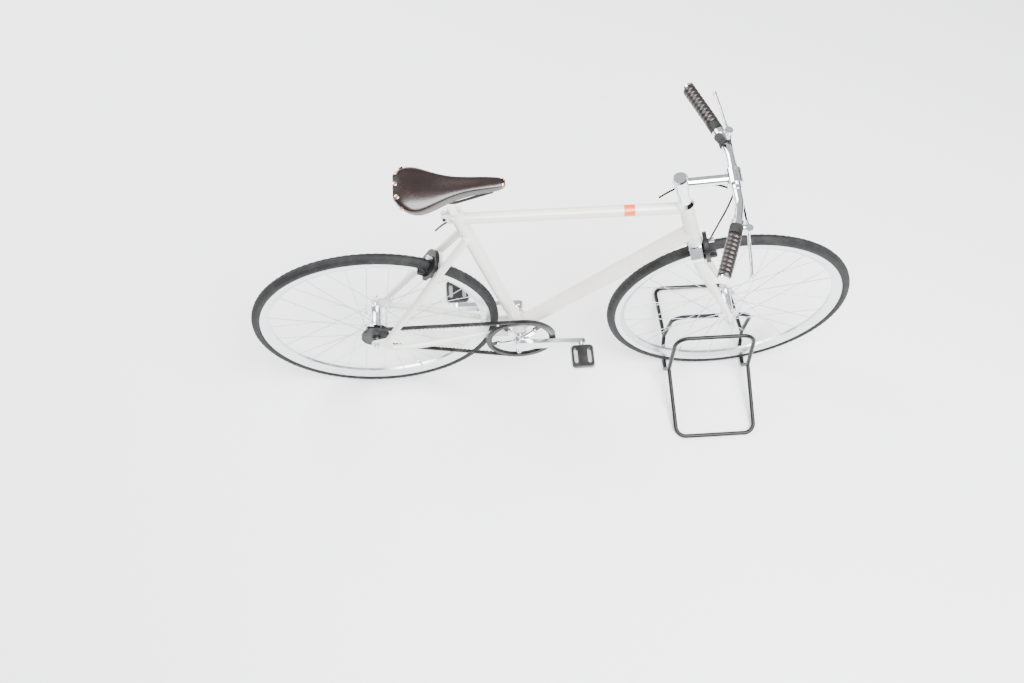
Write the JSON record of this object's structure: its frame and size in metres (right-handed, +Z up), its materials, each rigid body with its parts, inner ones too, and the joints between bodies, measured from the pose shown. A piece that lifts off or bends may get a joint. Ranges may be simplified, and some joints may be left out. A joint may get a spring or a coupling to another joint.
{
  "type": "city bicycle",
  "caption": "City bicycle with a belt drive, leather saddle and swept bar, its front wheel held in a tubular wheel stand.",
  "frame": {"origin": "on the floor, midway between the two axles, in the plane of the wheels", "axes": "+X forward, +Y to the rider's left, +Z up"},
  "size_m": [1.661, 0.5642, 0.978],
  "materials": {
    "white_paint": "gloss",
    "polished_metal": "polished",
    "spoke_steel": "bright",
    "tyre_rubber": "matt",
    "black_rubber": "matt",
    "brown_leather": "satin",
    "black_paint": "satin"
  },
  "bodies": {
    "stand_and_fork": {"stand_left": "black_paint", "stand_right": "black_paint", "fork_crown": "polished_metal", "fork_blade_left": "white_paint", "fork_blade_right": "white_paint", "front_axle": "polished_metal", "spacer_column": "polished_metal", "stem": "polished_metal", "stem_faceplate": "polished_metal", "handlebar": "polished_metal", "grips": "brown_leather", "grip_collars": "black_rubber", "brake_lever_left": "polished_metal", "brake_lever_right": "polished_metal", "bell": "polished_metal", "front_brake_arms": "polished_metal", "front_brake_shoes": "black_rubber", "front_brake_cable": "black_rubber", "steering_brake_cable": "black_rubber"},
    "front_wheel": {"front_tyre": "tyre_rubber", "front_rim": "polished_metal", "front_hub": "polished_metal", "front_spokes": "spoke_steel"},
    "frame": {"head_tube": "white_paint", "headset_cups": "polished_metal", "top_tube": "white_paint", "down_tube": "white_paint", "seat_tube": "white_paint", "bracket_shell": "white_paint", "bracket_cups": "polished_metal", "seat_stay_left": "white_paint", "seat_stay_right": "white_paint", "chain_stay_left": "white_paint", "chain_stay_right": "white_paint", "rear_dropouts": "white_paint", "stay_bridge": "white_paint", "seat_collar": "polished_metal", "seatpost": "polished_metal", "saddle_leather": "brown_leather", "saddle_rails": "black_paint", "saddle_rear_plate": "polished_metal", "belt": "black_rubber", "rear_axle": "polished_metal", "rear_brake_arms": "polished_metal", "rear_brake_shoes": "black_rubber", "rear_brake_cable": "black_rubber"},
    "rear_wheel": {"rear_tyre": "tyre_rubber", "rear_rim": "polished_metal", "rear_hub": "polished_metal", "rear_spokes": "spoke_steel"},
    "rear_sprocket": {"rear_sprocket": "polished_metal"},
    "crankset": {"bracket_spindle": "polished_metal", "right_crank": "polished_metal", "left_crank": "polished_metal", "belt_ring": "polished_metal", "pedal_spindles": "polished_metal"},
    "left_pedal": {"pedal_body_left": "polished_metal", "pedal_pads_left": "black_rubber"},
    "right_pedal": {"pedal_body_right": "polished_metal", "pedal_pads_right": "black_rubber"}
  },
  "joints": [
    {"name": "steering", "type": "hinge", "parent": "stand_and_fork", "child": "frame", "pos_m": [0.44344, 0, 0.32522], "axis": [-0.2756, 0, 0.9613], "range_deg": [-45, 45], "deforming": ["steering_brake_cable"]},
    {"name": "front_wheel_spin", "type": "hinge", "parent": "stand_and_fork", "child": "front_wheel", "pos_m": [0.4915, 0, 0.339], "axis": [0, 1, 0], "continuous": true},
    {"name": "rear_wheel_spin", "type": "hinge", "parent": "frame", "child": "rear_wheel", "pos_m": [-0.4915, 0, 0.339], "axis": [0, 1, 0], "continuous": true},
    {"name": "crank_spin", "type": "hinge", "parent": "frame", "child": "crankset", "pos_m": [-0.093, 0, 0.282], "axis": [0, 1, 0], "continuous": true},
    {"name": "sprocket_spin", "type": "hinge", "parent": "frame", "child": "rear_sprocket", "pos_m": [-0.4915, 0, 0.339], "axis": [0, 1, 0], "continuous": true},
    {"name": "left_pedal_spin", "type": "hinge", "parent": "crankset", "child": "left_pedal", "pos_m": [-0.2629, 0.1, 0.28793], "axis": [0, 1, 0], "continuous": true},
    {"name": "right_pedal_spin", "type": "hinge", "parent": "crankset", "child": "right_pedal", "pos_m": [0.0769, -0.1, 0.27607], "axis": [0, 1, 0], "continuous": true}
  ],
  "couplings": [
    {"joint": "sprocket_spin", "follows": "crank_spin", "ratio": 2.5}
  ]
}
